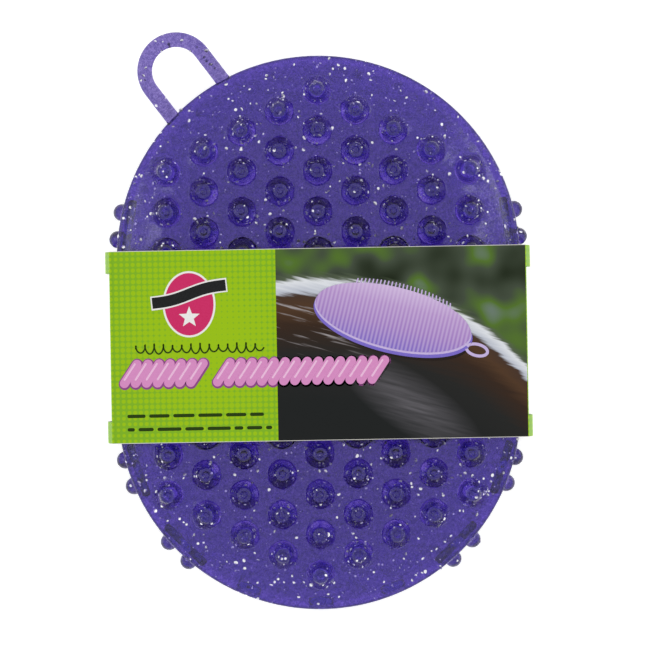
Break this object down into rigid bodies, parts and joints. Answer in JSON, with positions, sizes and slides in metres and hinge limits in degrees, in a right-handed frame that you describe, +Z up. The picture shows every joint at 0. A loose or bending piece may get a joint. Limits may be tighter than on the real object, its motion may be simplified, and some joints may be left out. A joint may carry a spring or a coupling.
{
  "type": "grooming mitt",
  "caption": "Flexible two-sided soft vinyl curry comb mitt with a cone-nub face, a fine-bristle face, a hand pocket, a hang loop and a printed card sleeve.",
  "frame": {"origin": "on the surface the card sleeve rests on, under the middle of the oval", "axes": "+Z up out of the nub face, +Y towards the wrist end with the hang loop, +X to the right"},
  "size_m": [0.128, 0.1736, 0.0371],
  "materials": {
    "jelly": "translucent glossy soft vinyl with glitter",
    "green_card": "coated printed card",
    "picture_card": "coated printed card"
  },
  "bodies": {
    "bristle_side": {"bristle_face": "jelly", "left_webs": "jelly", "right_webs": "jelly", "finger_links": "jelly"},
    "nub_side": {"nub_face": "jelly"},
    "loop": {"hang_loop": "jelly"},
    "card_sleeve": {"sleeve_front_panel": "picture_card", "sleeve_back_panel": "green_card", "sleeve_left_strips": "green_card", "sleeve_right_strips": "green_card", "sleeve_glue_flap": "green_card"}
  },
  "joints": [
    {"name": "pocket_squeeze", "type": "slide", "parent": "bristle_side", "child": "nub_side", "axis": [0, 0, -1], "range_m": [0, 0.006], "stiffness_N_per_m": 2000, "deforming": ["left_webs", "right_webs", "finger_links"]},
    {"name": "loop_flex", "type": "hinge", "parent": "nub_side", "child": "loop", "pos_m": [-0.03717, 0.0722, 0.023], "axis": [0.7986, 0.6018, 0], "range_deg": [-60, 60], "stiffness_Nm_per_rad": 0.02},
    {"name": "sleeve_slide", "type": "slide", "parent": "bristle_side", "child": "card_sleeve", "axis": [0, 1, 0], "range_m": [-0.112, 0.125]}
  ]
}
